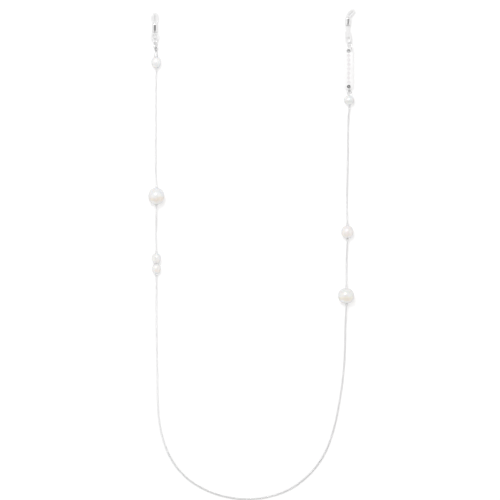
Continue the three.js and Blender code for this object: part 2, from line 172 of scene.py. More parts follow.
def wire_material():
    """Polished plated wire with faint drawing marks and a soft tone haze; painted shade darkens it where parts bear on
    each other and in the tag's holes.
    """
    m, t, b = principled("wire_silver")
    mm = t.mm()
    fine = t.noise(mm, 9, 5, 0.6)
    haze = t.noise(mm, 1.4, 3)
    silver = t.mix(t.remap(haze, 0.35, 0.65, 0, 1), rgb(0.92, 0.92, 0.925), rgb(0.96, 0.957, 0.955))
    # painted shade where parts bear on each other and in the tag's holes, broken up by the fine noise
    crook = t.new("ShaderNodeAttribute", attribute_name="crook").outputs["Fac"]
    crook = t.math("MULTIPLY", crook, t.remap(fine, 0.25, 0.6, 0.82, 1.0), clamp=True)
    t.put(b.inputs["Base Color"], t.mix(crook, silver, rgb(0.05, 0.05, 0.052)))
    t.put(b.inputs["Metallic"], 1.0)
    t.put(b.inputs["Roughness"], t.remap(haze, 0.3, 0.7, 0.12, 0.22))
    t.put(b.inputs["Normal"], bump(t, fine, 0.12, 0.015))
    return m


def satin_material(name, tone):
    """Soft brushed silver of the bell caps and crimps: fine turned lines, wide highlights."""
    m, t, b = principled(name)
    turned = t.noise(t.mm((0.6, 16, 0.6)), 1.0, 4, 0.6)
    haze = t.noise(t.mm(), 1.1, 3)
    t.put(b.inputs["Base Color"], t.mix(t.remap(haze, 0.35, 0.65, 0, 1), rgb(tone - 0.03, tone - 0.03, tone - 0.027), rgb(tone + 0.03, tone + 0.03, tone + 0.027)))
    t.put(b.inputs["Metallic"], 0.75)
    t.put(b.inputs["Roughness"], t.remap(turned, 0.3, 0.7, 0.3, 0.42))
    t.put(b.inputs["Normal"], bump(t, turned, 0.15, 0.012))
    return m


def sleeve_material(name, soft=0.0):
    """Mirror tube, drawn lengthwise, with a few hairline rubs round it."""
    m, t, b = principled(name)
    along = t.noise(t.mm((9, 0.35, 9)), 1.0, 4)
    round_ = t.noise(t.mm((0.5, 14, 0.5)), 1.0, 3, 0.7)
    haze = t.noise(t.mm(), 0.8, 2)
    t.put(b.inputs["Base Color"], t.mix(t.remap(haze, 0.35, 0.65, 0, 1), rgb(0.88, 0.88, 0.885), rgb(0.94, 0.935, 0.93)))
    t.put(b.inputs["Metallic"], 1.0)
    t.put(b.inputs["Roughness"], t.math("ADD", t.remap(along, 0.3, 0.7, 0.1 + soft, 0.15 + soft), t.remap(round_, 0.55, 0.75, 0, 0.05)))
    t.put(b.inputs["Normal"], bump(t, along, 0.08, 0.01))
    return m


def tag_material(top_m):
    """Plate with a fine brushed grain along it; recesses are darker."""
    m, t, b = principled("tag_silver")
    grain = t.noise(t.mm((22, 0.5, 22)), 1.0, 5, 0.65)
    cloud = t.noise(t.mm(), 0.35, 3)
    z = t.new("ShaderNodeSeparateXYZ", {0: t.new("ShaderNodeTexCoord").outputs["Object"]}).outputs["Z"]
    deep = t.remap(z, top_m - 0.00012, top_m - 0.00003, 1, 0, "LINEAR")
    inside = t.remap(z, top_m - 0.0003, top_m - 0.00022, 0, 1, "LINEAR")
    recess = t.math("MULTIPLY", deep, inside)
    face = t.mix(t.remap(cloud, 0.35, 0.65, 0, 1), rgb(0.97, 0.968, 0.968), rgb(0.99, 0.989, 0.989))
    t.put(b.inputs["Base Color"], t.mix(t.math("MULTIPLY", recess, 0.9), face, rgb(0.6, 0.52, 0.56)))
    t.put(b.inputs["Metallic"], 0.1)
    t.put(b.inputs["Roughness"], t.math("ADD", t.remap(grain, 0.3, 0.7, 0.3, 0.42), t.math("MULTIPLY", recess, 0.2)))
    t.put(b.inputs["Normal"], bump(t, grain, 0.1, 0.01))
    return m


def silicone_material():
    """Clear to milky silicone rubber with a satin moulded skin."""
    m, t, b = principled("silicone_milky")
    mm = t.mm()
    cloud = t.noise(mm, 0.28, 3)
    skin = t.noise(mm, 7.0, 5, 0.6)
    edge = t.new("ShaderNodeLayerWeight", {"Blend": 0.35}).outputs["Facing"]
    body = t.mix(t.remap(cloud, 0.35, 0.65, 0, 1), rgb(0.93, 0.931, 0.933), rgb(0.96, 0.961, 0.962))
    # painted shade: the base colour turns greyer towards the edges seen side-on
    t.put(b.inputs["Base Color"], t.mix(t.remap(edge, 0.5, 1.0, 0, 0.5), body, rgb(0.84, 0.845, 0.85)))
    t.put(b.inputs["Roughness"], t.remap(skin, 0.3, 0.7, 0.34, 0.5))
    t.put(b.inputs["IOR"], 1.41)
    t.put(b.inputs["Transmission Weight"], 0.1)
    t.put(b.inputs["Subsurface Weight"], 0.6)
    t.put(b.inputs["Subsurface Radius"], (1.0, 1.0, 1.0))
    t.put(b.inputs["Subsurface Scale"], 0.0012)
    t.put(b.inputs["Normal"], bump(t, skin, 0.18, 0.03))
    return m


def nacre_material(name, node, body, warm, rings=0.0, seed=0.0):
    """Pearl: a soft wide lustre over its body colour, with a painted band of warm reflection and shade below the
    middle, painted light at the rim and the lower end, a faint overtone and a fine skin."""
    m, t, b = principled(name)
    lo, hi = box(node)
    tc = t.new("ShaderNodeTexCoord")
    mp = t.new("ShaderNodeMapping", {"Vector": tc.outputs["Object"], "Scale": (1000, 1000, 1000),
                                     "Location": (seed, seed * 0.7, seed * 1.3)})
    mm = mp.outputs["Vector"]
    cloud = t.noise(mm, 0.3, 3, 0.5, 0.4)
    swirl = t.noise(mm, 1.1, 5, 0.6, 1.2)
    skin = t.noise(mm, 6.0, 6, 0.55)
    facing = t.new("ShaderNodeLayerWeight", {"Blend": 0.45}).outputs["Facing"]
    y = t.new("ShaderNodeSeparateXYZ", {0: tc.outputs["Object"]}).outputs["Y"]
    mid, half = float(lo[1] + hi[1]) / 2 * MM, float(hi[1] - lo[1]) / 2 * MM
    down = t.math("DIVIDE", t.math("SUBTRACT", mid, y), half)
    down = t.math("ADD", down, t.remap(cloud, 0.3, 0.7, -0.12, 0.12))
    # painted reflection and shade: a warm band just below the middle of the pearl
    painted_band = t.math("MULTIPLY", t.remap(down, -0.05, 0.35, 0, 1), t.remap(down, 0.5, 0.95, 1, 0.25))
    tint = t.mix(painted_band, rgb(*body), rgb(*warm))
    tint = t.mix(t.remap(swirl, 0.45, 0.7, 0, 0.25), tint, rgb(0.94, 0.93, 0.93))
    # painted rim light: the rim seen side-on turns light grey
    tint_with_painted_light = t.mix(t.remap(facing, 0.3, 0.95, 0, 1), tint, rgb(0.935, 0.935, 0.937))
    # painted light: the lower end lightened almost to white
    tint_with_painted_light = t.mix(t.remap(down, 0.45, 0.95, 0, 0.9), tint_with_painted_light, rgb(1.0, 0.998, 0.994))
    t.put(b.inputs["Base Color"], tint_with_painted_light)
    t.put(b.inputs["Metallic"], 0.16)
    t.put(b.inputs["Roughness"], t.remap(skin, 0.3, 0.7, 0.2, 0.3))
    t.put(b.inputs["Subsurface Weight"], 0.25)
    t.put(b.inputs["Subsurface Radius"], (1.0, 0.85, 0.7))
    t.put(b.inputs["Subsurface Scale"], 0.0009)
    t.put(b.inputs["Coat Weight"], 0.38)
    t.put(b.inputs["Coat Roughness"], 0.08)
    t.put(b.inputs["Coat IOR"], 1.6)
    if "Thin Film Thickness" in b.inputs:
        t.put(b.inputs["Thin Film Thickness"], t.remap(swirl, 0.3, 0.7, 330, 470))
        t.put(b.inputs["Thin Film IOR"], 1.44)
    n = bump(t, swirl, 0.1 + 0.2 * rings, 0.05)
    n = bump(t, skin, 0.1, 0.015, n)
    t.put(b.inputs["Normal"], n)
    return m


CHAIN = chain_material()
WIRE = wire_material()
TUBE = sleeve_material("sleeve_silver_left")
TUBE_SOFT = sleeve_material("sleeve_silver_right", 0.04)
SILICONE = silicone_material()
SATIN = satin_material("satin_silver", 0.77)
# a lighter copy of the crimps' satin: painted light for the upper crimps
SATIN_PAINTED_LIT = satin_material("satin_silver_painted_lit", 0.9)
SATIN_PALE = satin_material("satin_silver_pale", 0.955)


# ------------------------------------------------------------------ mesh tools
def add_mesh(name, verts, faces, material, smooth=True, attributes=None):
    """A new object from vertices in millimetres."""
    me = bpy.data.meshes.new(name)
    me.from_pydata([tuple(float(c) * MM for c in v) for v in verts], [], faces)
    me.validate()
    if smooth:
        me.polygons.foreach_set("use_smooth", [True] * len(me.polygons))
    for key, values in (attributes or {}).items():
        a = me.attributes.new(key, "FLOAT", "POINT")
        a.data.foreach_set("value", np.asarray(values, np.float32))
    me.materials.append(material)
    me.update()
    o = bpy.data.objects.new(name, me)
    bpy.context.scene.collection.objects.link(o)
    return o


def shade(o, key, fn):
    """Adds a per-point value worked out from the points' places in millimetres."""
    n = len(o.data.vertices)
    co = np.empty(n * 3, np.float32)
    o.data.vertices.foreach_get("co", co)
    a = o.data.attributes.new(key, "FLOAT", "POINT")
    a.data.foreach_set("value", np.clip(fn(co.reshape(-1, 3) / MM), 0, 1).astype(np.float32))
    return o


def near(point, full, gone):
    """1 within one distance of a point, fading to 0 at the other."""
    return lambda v: 1 - np.clip((np.linalg.norm(v - np.array(point), axis=1) - full) / (gone - full), 0, 1)


def grid_faces(rows, cols, close_rows=False, offset=0):
    """Quads of a rows x cols grid whose columns wrap round."""
    out = []
    for i in range(rows if close_rows else rows - 1):
        a, b = offset + i * cols, offset + ((i + 1) % rows) * cols
        for j in range(cols):
            k = (j + 1) % cols
            out.append((a + j, a + k, b + k, b + j))
    return out


def outward(o):
    """Makes a closed mesh's faces point out."""
    bm = bmesh.new()
    bm.from_mesh(o.data)
    bmesh.ops.recalc_face_normals(bm, faces=bm.faces)
    if bm.calc_volume(signed=True) < 0:
        bmesh.ops.reverse_faces(bm, faces=bm.faces)
    bm.to_mesh(o.data)
    bm.free()
    return o


def lathe(profile, seg, warp=None):
    """Closed profile of (radius, y) turned about the Y axis."""
    v = []
    for r, y in profile:
        for j in range(seg):
            a = 2 * PI * j / seg
            p = np.array([r * math.sin(a), y, r * math.cos(a)])
            v.append(warp(p, a) if warp else p)
    return np.array(v), grid_faces(len(profile), seg, True)


def rounded(profile, radius, steps=5):
    """Rounds the corners of a closed 2-D profile. radius is one number or one per corner."""
    pts = [np.array(p, float) for p in profile]
    n, out = len(pts), []
    for i, p in enumerate(pts):
        r = radius[i] if isinstance(radius, (list, tuple)) else radius
        a, b = pts[i - 1] - p, pts[(i + 1) % n] - p
        la, lb = np.linalg.norm(a), np.linalg.norm(b)
        d = min(r, la * 0.45, lb * 0.45)
        if d < 1e-4:
            out.append(tuple(p))
            continue
        s, e = p + a / la * d, p + b / lb * d
        for k in range(steps + 1):
            u = k / steps
            out.append(tuple((1 - u) ** 2 * s + 2 * u * (1 - u) * p + u * u * e))
    return out


def sweep(points, radius, sides=14, closed=False, rx=1.0):
    """Round wire along points; open ends are domed."""
    P = np.array(points, float)
    n = len(P)
    T = np.empty_like(P)
    if closed:
        T = np.roll(P, -1, 0) - np.roll(P, 1, 0)
    else:
        T[1:-1] = P[2:] - P[:-2]
        T[0], T[-1] = P[1] - P[0], P[-1] - P[-2]
    T /= np.linalg.norm(T, axis=1)[:, None]
    ref = np.array([0, 0, 1.0]) if abs(T[0][2]) < 0.8 else np.array([1.0, 0, 0])
    U = np.empty_like(P)
    u = np.cross(T[0], ref)
    u /= np.linalg.norm(u)
    for i in range(n):
        u = u - T[i] * np.dot(u, T[i])
        u /= np.linalg.norm(u)
        U[i] = u
    W = np.cross(T, U)
    if closed:  # spread the closing twist along the loop
        un = U[0] - T[-1] * np.dot(U[0], T[-1])
        twist = math.atan2(np.dot(un, W[-1]), np.dot(un, U[-1]))
        for i in range(n):
            a = twist * i / (n - 1)
            U[i], W[i] = U[i] * math.cos(a) + W[i] * math.sin(a), W[i] * math.cos(a) - U[i] * math.sin(a)
    rows = []
    rr = radius if callable(radius) else (lambda t: radius)
    if not closed:
        r0 = rr(0)
        for k in (3, 2, 1):
            q = k / 4 * PI / 2
            rows.append((P[0] - T[0] * r0 * math.sin(q) * 0.6, U[0], W[0], r0 * math.cos(q)))
    for i in range(n):
        rows.append((P[i], U[i], W[i], rr(i / (n - 1))))
    if not closed:
        r1 = rr(1)
        for k in (1, 2, 3):
            q = k / 4 * PI / 2
            rows.append((P[-1] + T[-1] * r1 * math.sin(q) * 0.6, U[-1], W[-1], r1 * math.cos(q)))
    v = []
    for c, a, b, r in rows:
        for j in range(sides):
            q = 2 * PI * j / sides
            v.append(c + a * (r * math.cos(q)) + b * (r * math.sin(q)))
    f = grid_faces(len(rows), sides, closed)
    if not closed:
        f.append(tuple(range(sides - 1, -1, -1)))
        f.append(tuple((len(rows) - 1) * sides + j for j in range(sides)))
    return np.array(v), f


def join(*parts):
    """Several (verts, faces) as one."""
    v, f, n = [], [], 0
    for vv, ff in parts:
        v.append(np.asarray(vv))
        f += [tuple(i + n for i in q) for q in ff]
        n += len(vv)
    return np.vstack(v), f


def turn_z(v, angle):
    c, s = math.cos(angle), math.sin(angle)
    v = np.asarray(v)
    return np.column_stack([v[:, 0] * c - v[:, 1] * s, v[:, 0] * s + v[:, 1] * c, v[:, 2]])


def finish_piece(o, body, slot, *nodes):
    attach(o, body)
    if nodes:
        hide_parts(*nodes)
    return o


# ------------------------------------------------------- the chain's centre line
CHAIN_R, FLOOR_Z = 0.6, 0.63
PLAN = [
    (-65.55, 130.0), (-65.76, 120.44), (-65.79, 106.64), (-65.79, 92.84), (-65.86, 84.56),
    (-65.96, 72.14), (-65.9, 58.34), (-65.38, 30.74), (-65.52, 22.46), (-65.72, 14.6),
    (-65.42, -17.56), (-65.38, -31.36), (-65.31, -45.16), (-65.24, -58.96), (-65.03, -69.31),
    (-64.78, -81.04), (-64.66, -93.46), (-64.4, -103.12), (-63.8, -112.09), (-62.8, -118.99),
    (-61.0, -126.34), (-57.17, -136.93), (-53.03, -144.11), (-48.89, -149.46), (-44.75, -153.6),
    (-40.61, -156.87), (-36.47, -159.5), (-32.33, -161.72), (-28.19, -163.56), (-24.05, -165.08),
    (-19.91, -166.28), (-15.77, -167.22), (-11.63, -167.92), (-7.49, -168.36), (-3.35, -168.54),
    (0.79, -168.46), (4.93, -168.12), (9.07, -167.5), (13.21, -166.6), (17.35, -165.43),
    (21.49, -163.98), (25.63, -162.12), (29.77, -159.78), (33.91, -156.87), (38.05, -153.38),
    (42.19, -149.25), (46.33, -144.11), (50.47, -137.42), (54.61, -127.76), (58.5, -114.0),
    (60.75, -102.43), (62.38, -92.08), (63.46, -83.11), (64.2, -75.02), (64.65, -66.55),
    (64.86, -57.58), (65.0, -48.61), (65.2, -41.02), (65.79, -9.28), (65.95, -1.0),
    (66.06, 25.22), (66.04, 32.12), (66.14, 40.4), (66.34, 48.68), (66.6, 58.34),
    (66.76, 68.69), (66.85, 80.42), (66.98, 90.08), (67.2, 96.9), (67.72, 109.6),
]
STATIONS = [
    (-65.55, 133.4, 125.2, 3.2, 13), (-65.35, 49.0, 32.0, 5.4, 17), (-65.38, 3.4, -16.4, 2.98, 11),
    (67.72, 110.4, 101.2, 3.4, 12), (66.27, 22.9, 9.0, 4.05, 13.5), (65.58, -20.6, -35.6, 5.4, 14),
]


def step5(t):
    u = min(1.0, max(0.0, t))
    return u * u * u * (u * (6 * u - 15) + 10)


def height_at(x, y):
    z = FLOOR_Z
    for sx, hi, lo, sz, rise in STATIONS:
        if (x < 0) != (sx < 0):
            continue
        off = max(y - hi, lo - y, 0)
        z = max(z, FLOOR_Z + (sz - FLOOR_Z) * (1 - step5(off / rise)))
    return z


def chain_run():
    """The CAD's centre line again: same points, same curve."""
    def in_station(x, y):
        return any((x < 0) == (s[0] < 0) and s[2] - 0.5 < y < s[1] + 0.5 for s in STATIONS)

    raw = [p for p in PLAN if not in_station(*p)]
    left, right = [p for p in raw if p[0] < 0], [p for p in raw if p[0] >= 0]
    for s in STATIONS:
        side = left if s[0] < 0 else right
        n = math.ceil((s[1] - s[2]) / 2.5)
        side += [(s[0], s[1] + (s[2] - s[1]) * i / n) for i in range(n + 1)]

    def refine(pts):
        out = []
        for i, a in enumerate(pts):
            out.append(a)
            if i + 1 < len(pts):
                b = pts[i + 1]
                d = math.hypot(a[0] - b[0], a[1] - b[1])
                rising = (abs(height_at(*a) - height_at(*b)) > 0.05
                          or height_at((a[0] + b[0]) / 2, (a[1] + b[1]) / 2) > FLOOR_Z + 0.05)
                n = math.ceil(d / 2.5) if rising else 1
                out += [(a[0] + (b[0] - a[0]) * k / n, a[1] + (b[1] - a[1]) * k / n) for k in range(1, n)]
        return out

    plan = (refine(sorted([p for p in left if p[1] >= -100], key=lambda p: -p[1]))
            + [p for p in left if p[1] < -100] + [p for p in right if p[1] < -100]
            + refine(sorted([p for p in right if p[1] >= -100], key=lambda p: p[1])))
    P = np.array([(x, y, height_at(x, y)) for x, y in plan])
    P = np.vstack([2 * P[0] - P[1], P, 2 * P[-1] - P[-2]])
    out = []
    for i in range(1, len(P) - 2):
        p0, p1, p2, p3 = P[i - 1:i + 3]
        d0, d1, d2 = (max(1e-4, np.linalg.norm(b - a) ** 0.5) for a, b in ((p0, p1), (p1, p2), (p2, p3)))
        t1 = (p1 - p0) / d0 - (p2 - p0) / (d0 + d1) + (p2 - p1) / d1
        t2 = (p2 - p1) / d1 - (p3 - p1) / (d1 + d2) + (p3 - p2) / d2
        t1, t2 = t1 * d1, t2 * d1
        n = max(4, int(np.linalg.norm(p2 - p1) / 0.15))
        for k in range(n):
            t = k / n
            out.append(p1 + t1 * t + (-3 * p1 + 3 * p2 - 2 * t1 - t2) * t * t + (2 * p1 - 2 * p2 + t1 + t2) * t ** 3)
    out.append(P[-2])
    return np.array(out)


RUN = chain_run()
RUN_S = np.concatenate([[0], np.cumsum(np.linalg.norm(np.diff(RUN, axis=0), axis=1))])


def run_at(s):
    s = np.atleast_1d(s)
    return np.column_stack([np.interp(s, RUN_S, RUN[:, k]) for k in range(3)])


def along(side, y):
    """Distance along the run where it crosses y on one side of the strap."""
    half = RUN[:, 0] < -4 if side == "L" else RUN[:, 0] >= -4
    idx = np.where(half)[0]
    k = idx[np.argmin(np.abs(RUN[idx, 1] - y))]
    return float(RUN_S[k])


CUTS = [("L", 88), ("L", 14.6), ("L", -45), ("L", -100), ("L", -150), ("R", -150),
        ("R", -100), ("R", -65), ("R", -5.5), ("R", 62)]
CHAIN_NAMES = ["chain_left_1", "chain_left_2", "chain_left_3", "chain_left_4",
               "chain_bottom_left", "chain_bottom", "chain_bottom_right", "chain_right_4",
               "chain_right_3", "chain_right_2", "chain_right_1"]
# reach from each bend, short where a pearl is near; the points at that reach are worked out but not used
REACH = [30, 12.5, 26, 26, 22, 22, 17, 17, 14, 30]
bend_s = [along(*c) for c in CUTS]
seam_s = [along("L", 133.4), along("L", 40.5), along("L", -9.55), along("L", -72), along("L", -126.5),
          float((bend_s[4] + bend_s[5]) / 2), along("R", -126.5), along("R", -82.5), along("R", -28.1),
          along("R", 15.9), along("R", 107.6)]

LINK = 0.52          # pitch of the snake chain's links
SIDES = 20
# one link along its length: share of the pitch, radius, how deep in the groove
LINK_ROWS = [(0.0, 0.80, 1.0), (0.13, 0.95, 0.25), (0.36, 1.0, 0.0), (0.68, 1.0, 0.0), (0.88, 0.94, 0.3)]


def snake(name, s0, s1, material):
    """Snake chain from s0 to s1: overlapping wavy links round a closed core."""
    n0, n1 = math.ceil(s0 / LINK), math.floor(s1 / LINK)
    rows = [(k * LINK + f * LINK, r, g) for k in range(n0, n1) for f, r, g in LINK_ROWS] + [(n1 * LINK, 0.80, 1.0)]
    s = np.array([q[0] for q in rows])
    r = np.array([q[1] for q in rows]) * CHAIN_R
    g = np.array([q[2] for q in rows])
    c = run_at(s)
    ahead, behind = run_at(s + 0.6), run_at(s - 0.6)
    T = ahead - behind
    T /= np.linalg.norm(T, axis=1)[:, None]
    U = np.cross(T, np.array([0, 0, 1.0]))
    U /= np.linalg.norm(U, axis=1)[:, None]
    W = np.cross(U, T)
    a = 2 * PI * (np.arange(SIDES) + 0.5) / SIDES
    ca, sa = np.cos(a), np.sin(a)
    wave = 0.22 * LINK * np.cos(4 * a)
    # wave dies out at the two ends, so the caps are flat
    ease = np.clip(np.minimum(s - s[0], s[-1] - s) / LINK, 0, 1)
    v = (c[:, None, :] + U[:, None, :] * (r[:, None] * ca)[:, :, None] + W[:, None, :] * (r[:, None] * sa)[:, :, None]
         + T[:, None, :] * (ease[:, None] * wave[None, :])[:, :, None])
    v = v.reshape(-1, 3)
    f = grid_faces(len(rows), SIDES)
    f.append(tuple(range(SIDES - 1, -1, -1)))
    f.append(tuple((len(rows) - 1) * SIDES + j for j in range(SIDES)))
    o = outward(add_mesh(name, v, f, material, attributes={"groove": np.repeat(g, SIDES)}))

    def wear(q):
        # painted shade: the right side darker than the left, the bottom of the loop darkest, standing in for the dimmer
        # reflections there
        side = np.clip((q[:, 0] + 10) / 60, 0, 1)
        low = np.clip((-95 - q[:, 1]) / 45, 0, 1)
        return (0.025 + 0.065 * side) * (1 - low) + 0.24 * low

    return shade(o, "wear", wear)


for i, (c, reach) in enumerate(zip(bend_s, REACH)):
    o = snake("snake_" + CHAIN_NAMES[i][6:] + "_to_" + CHAIN_NAMES[i + 1][6:], seam_s[i], seam_s[i + 1], CHAIN)
    tuple(run_at(c - reach)[0] * MM)
    tuple(run_at(c + reach)[0] * MM)
    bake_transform(o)
    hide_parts(CHAIN_NAMES[i], CHAIN_NAMES[i + 1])

# ------------------------------------------------------------------------ pearls
BORE_CAD, BORE = 0.85, 0.68
WHITE, PALE = (0.905, 0.905, 0.905), (0.9, 0.893, 0.888)
# the second colour of each pearl is its painted band of warm reflection and shade
PEARLS = {  # shape exponent, how much narrower at the top, sideways lean of the skin, colours, slot, seed
    "pearl_left_1": (2.5, 0.0, 0.0, (0.935, 0.935, 0.935), (0.86, 0.86, 0.86), "pearl_white", 1),
    "pearl_left_2": (2.15, 0.0, 0.0, (0.895, 0.895, 0.895), (0.905, 0.82, 0.735), "pearl_white", 2),
    "pearl_left_3": (2.6, 0.0, 0.0, PALE, (0.93, 0.9, 0.88), "pearl_white", 3),
    "pearl_left_4": (2.6, 0.0, 0.0, (0.915, 0.905, 0.895), (0.94, 0.89, 0.85), "pearl_white", 4),
    "pearl_right_1": (2.1, 0.0, -0.2, WHITE, (0.8, 0.8, 0.8), "pearl_white", 5),
    "pearl_right_2": (2.2, 0.1, 0.0, (0.915, 0.875, 0.862), (0.925, 0.865, 0.82), "pearl_rose", 6),
    "pearl_right_3": (2.15, 0.0, -0.28, (0.9, 0.893, 0.875), (0.905, 0.845, 0.745), "pearl_cream", 7),
}


def pearl(node, p, egg, shift, body, warm, slot, seed):
    material = nacre_material("nacre_" + node[6:], node, body, warm, 1.0 if egg else 0.2, 4.0 * seed)
    lo, hi = box(node)
    cx, cz, r = (lo[0] + hi[0]) / 2, (lo[2] + hi[2]) / 2, (hi[2] - lo[2]) / 2
    # the CAD profile is cut off where it meets its own bore; half lengths come from that
    full = 1 / (1 - (BORE_CAD / r) ** p) ** (1 / p)
    up0 = (hi[1] - lo[1]) / 2 * full + (0.06 if node in ("pearl_left_3", "pearl_left_4") else 0.14)
    broad = 1 + (0.3 if node == "pearl_right_1" else 0.2) / r  # lying on its flatter side, a little broader than high
    cy = (hi[1] + lo[1]) / 2
    rng = np.random.default_rng(seed)
    rows, seg = 72, 112
    f0 = math.asin((BORE * 1.25 / r) ** (p / 2))
    profile = []
    for i in range(rows + 1):
        f = f0 + (PI - 2 * f0) * i / rows
        y = -up0 * math.copysign(abs(math.cos(f)) ** (2 / p), math.cos(f))
        rr = r * abs(math.sin(f)) ** (2 / p)
        if egg:
            rr *= 1 - egg * max(0.0, y / up0) ** 1.2
        profile.append((rr, y))
    # soft chamfer of the drilled hole, then the hole itself
    y0, y1 = profile[0][1], profile[-1][1]
    lip = [(BORE * 1.12, y1 - 0.03), (BORE * 1.02, y1 - 0.12), (BORE, y1 - 0.3)]
    profile = profile + lip + [(BORE, (y0 + y1) / 2)] + [(q[0], y0 + (y1 - q[1])) for q in reversed(lip)]
    n_skin = rows + 1
    ph = rng.uniform(0, 2 * PI, 8)
    amp = rng.uniform(0.5, 1.0, 8)
    rings = [(rng.uniform(-0.6, 0.6), rng.uniform(0.03, 0.07), rng.uniform(0.3, 1.0)) for _ in range(7)]
    v = []
    for i, (rr, y) in enumerate(profile):
        t = y / up0
        edge = 0.0 if i >= n_skin else math.sin(PI * i / rows) ** 0.5
        for j in range(seg):
            a = 2 * PI * j / seg
            d = 0.0
            if edge:
                # gently out of round, with a few shallow hollows
                d -= 0.006 * amp[0] * (1 - math.cos(2 * a + ph[0])) / 2 * (1 - 0.5 * t * t)
                d -= 0.005 * amp[1] * (1 - math.cos(3 * a + ph[1] + 2 * t)) / 2
                d -= 0.004 * amp[2] * (1 - math.cos(a + ph[2] + 4 * t)) / 2
                d -= 0.0025 * amp[3] * (1 - math.cos(5 * a + ph[3]) * math.cos(7 * t + ph[4])) / 2
                for h, (rt, rw, rd) in enumerate(rings):
                    tt = t - rt - 0.02 * math.sin(a + h)
                    d -= (0.011 if egg else 0.0022) * rd * math.exp(-(tt / rw) ** 2)
            q = rr * (1 + d * edge)
            v.append((cx + shift * edge + q * math.sin(a) * (broad if i < n_skin else 1), cy + y, cz + q * math.cos(a)))
    o = outward(add_mesh("nacre_" + node, v, grid_faces(len(profile), seg, True), material))
    return finish_piece(o, node, slot, node)


for node, q in PEARLS.items():
    pearl(node, *q)


# ------------------------------------------------------------------------ crimps
def crimp(node, body, seed):
    """A crimp bead squeezed onto the chain: barrel with two flats and a seam."""
    lo, hi = box(node)
    c, h, r = (lo + hi) / 2, (hi[1] - lo[1]) / 2, (hi[2] - lo[2]) / 2
    inner = CHAIN_R + 0.03
    prof = rounded([(inner, -h), (r, -h), (r, h), (inner, h)], [0.05, 0.26, 0.26, 0.05], 6)
    fine = []
    for i, q in enumerate(prof):  # points along the long outer wall, so the squeeze shows
        nxt = prof[(i + 1) % len(prof)]
        fine.append(q)
        if abs(q[0] - r) < 1e-6 and abs(nxt[0] - r) < 1e-6 and abs(q[1] - nxt[1]) > 0.2:
            fine += [(r, q[1] + (nxt[1] - q[1]) * k / 9) for k in range(1, 9)]
    turn = 0.5 + 1.3 * seed

    def warp(p, a):
        rr = math.hypot(p[0], p[2])
        if rr < inner + 0.05:
            return p
        k = (rr - inner) / (r - inner)
        flat = 0.5 + 0.5 * math.cos(2 * (a - turn))
        squeeze = 0.2 * math.exp(-(p[1] / (0.42 * h)) ** 2) * flat ** 2
        seam = 0.05 * math.exp(-(math.remainder(a - turn - 1.3, 2 * PI) / 0.07) ** 2)
        s = 1 - k * (squeeze + seam)
        return np.array([p[0] * s, p[1], p[2] * s])

    v, f = lathe(fine, 48, warp)
    # painted light: the upper crimps take the lighter copy of the satin
    o = outward(add_mesh("bead_" + node, v + c, f, SATIN_PAINTED_LIT if node.endswith("upper") else SATIN))
    return finish_piece(o, body, "findings", node)


for k, (node, body) in enumerate([
    ("crimp_left_2_upper", "chain_left_2"), ("crimp_left_2_lower", "chain_left_2"),
    ("crimp_left_3_upper", "chain_left_3"), ("crimp_left_4_lower", "chain_left_3"),
    ("crimp_right_3_upper", "chain_right_3"), ("crimp_right_3_lower", "chain_right_3"),
    ("crimp_right_2_upper", "chain_right_2"), ("crimp_right_2_lower", "chain_right_2"),
    ("crimp_right_1_lower", "chain_right_1"),
]):
    crimp(node, body, k)


def end_cone():
    """Bell cap under the first left pearl, drawn down to a collar on the chain."""
    lo, hi = box("left_end_cone")
    c = (lo + hi) / 2
    inner = CHAIN_R + 0.03
    outer = [(inner, -1.0), (0.8, -1.0), (0.86, -0.95), (0.89, -0.86), (0.85, -0.76), (0.87, -0.64), (0.93, -0.42),
             (1.02, -0.1), (1.12, 0.22), (1.2, 0.5), (1.25, 0.66), (1.29, 0.76), (1.3, 0.84), (1.27, 0.93),
             (1.18, 0.98), (1.08, 0.92), (0.96, 0.66), (0.82, 0.4), (inner, 0.3)]
    v, f = lathe(outer, 64)
    o = outward(add_mesh("bell_left_end_cone", v + c + np.array([0, 0.08, 0]), f, SATIN_PALE))
    return finish_piece(o, "chain_left_1", "findings", "left_end_cone")


end_cone()

# --------------------------------------------------------------- rings and loops
WIRE_R = 0.35


def ring_point(at, radius, tilt, a):
    t = math.radians(tilt)
    return np.array([at[0] + radius * math.cos(a) * math.cos(t), at[1] + radius * math.sin(a),
                     at[2] + radius * math.cos(a) * math.sin(t)])


def jump_ring(node, body, radius, tilt, joint_deg, crook=None):
    """Round wire ring with its butt joint, the cut ends nearly touching."""
    at = centre(node)
    gap = 0.16 / radius
    j = math.radians(joint_deg)
    pts = [ring_point(at, radius, tilt, j + gap + (2 * PI - 2 * gap) * k / 110) for k in range(111)]
    v, f = sweep(pts, WIRE_R, 18)
    o = outward(add_mesh("wire_" + node, v, f, WIRE))
    if crook:
        shade(o, "crook", crook)
    return finish_piece(o, body, "findings", node)


# painted shade where the rings bear on each other and in the tag's holes; the lower ring through the tag is painted
# part dark all round
TAG_HOLES = [(67.3, 140.75, 2.0), (67.3, 116.15, 2.0)]
jump_ring("left_holder_ring", "left_holder_ring", 2.45, 67, 12, lambda v: 0.04 * near((-66.1, 144.4, 2.6), 0.9, 1.7)(v))
jump_ring("left_link_ring", "left_link_ring", 1.7, -28, 196, lambda v: 0.12 * near((-65.75, 142.4, 3.0), 0.5, 1.1)(v))
jump_ring("right_upper_ring", "right_upper_ring", 2.72, 62, -8, lambda v: 0.9 * near(TAG_HOLES[0], 1.2, 1.9)(v))
jump_ring("right_lower_ring", "right_lower_ring", 2.15, 88, 20, lambda v: np.maximum(near(TAG_HOLES[1], 1.3, 2.1)(v), 0.45))


